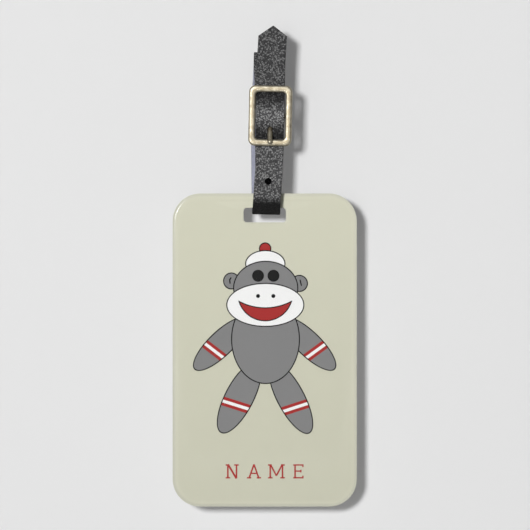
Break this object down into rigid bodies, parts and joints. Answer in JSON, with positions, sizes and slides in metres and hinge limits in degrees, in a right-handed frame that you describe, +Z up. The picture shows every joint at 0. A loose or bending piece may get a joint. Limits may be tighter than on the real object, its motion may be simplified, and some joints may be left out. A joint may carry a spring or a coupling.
{
  "type": "luggage tag",
  "caption": "Clear acrylic luggage tag with a printed sock monkey picture, a rear pocket for a contact card, and a buckled leather strap to hang it by.",
  "frame": {"origin": "middle of the strap's hanging loop, on the axis of the loop's round fold", "axes": "+Z up along the hanging tag, +X to the right seen from the front, front face towards -Y"},
  "size_m": [0.0601, 0.0119, 0.1565],
  "materials": {
    "black_leather": "pebbled",
    "antique_brass": "brushed, antique",
    "clear_acrylic": "clear gloss",
    "grey_ink": "printed, matt",
    "white_ink": "printed, matt",
    "red_ink": "printed, matt",
    "black_ink": "printed, matt",
    "sage_card": "printed, matt",
    "white_plastic": "satin",
    "card_stock": "matt card"
  },
  "bodies": {
    "strap": {"strap": "black_leather", "buckle_frame": "antique_brass", "centre_bar": "antique_brass", "rivet_post": "antique_brass", "rivet_cap": "antique_brass"},
    "prong": {"prong": "antique_brass"},
    "tag": {"front_cover": "clear_acrylic", "print_grey": "grey_ink", "print_white": "white_ink", "print_red": "red_ink", "print_black": "black_ink", "picture_card": "sage_card", "core_plate": "white_plastic", "spacer_frame": "white_plastic", "rear_window": "clear_acrylic"},
    "card": {"contact_card": "card_stock"}
  },
  "joints": [
    {"name": "tag_swing", "type": "hinge", "parent": "strap", "child": "tag", "pos_m": [-0.00115, -0.00095, -0.0448], "axis": [-1, 0, 0], "range_deg": [0, 90]},
    {"name": "prong_lift", "type": "hinge", "parent": "strap", "child": "prong", "pos_m": [0.00069, -0.00315, -0.01722], "axis": [-0.9998, 0, 0.0209], "range_deg": [0, 5]},
    {"name": "card_slide", "type": "slide", "parent": "tag", "child": "card", "axis": [1, 0, 0], "range_m": [0, 0.045]}
  ]
}
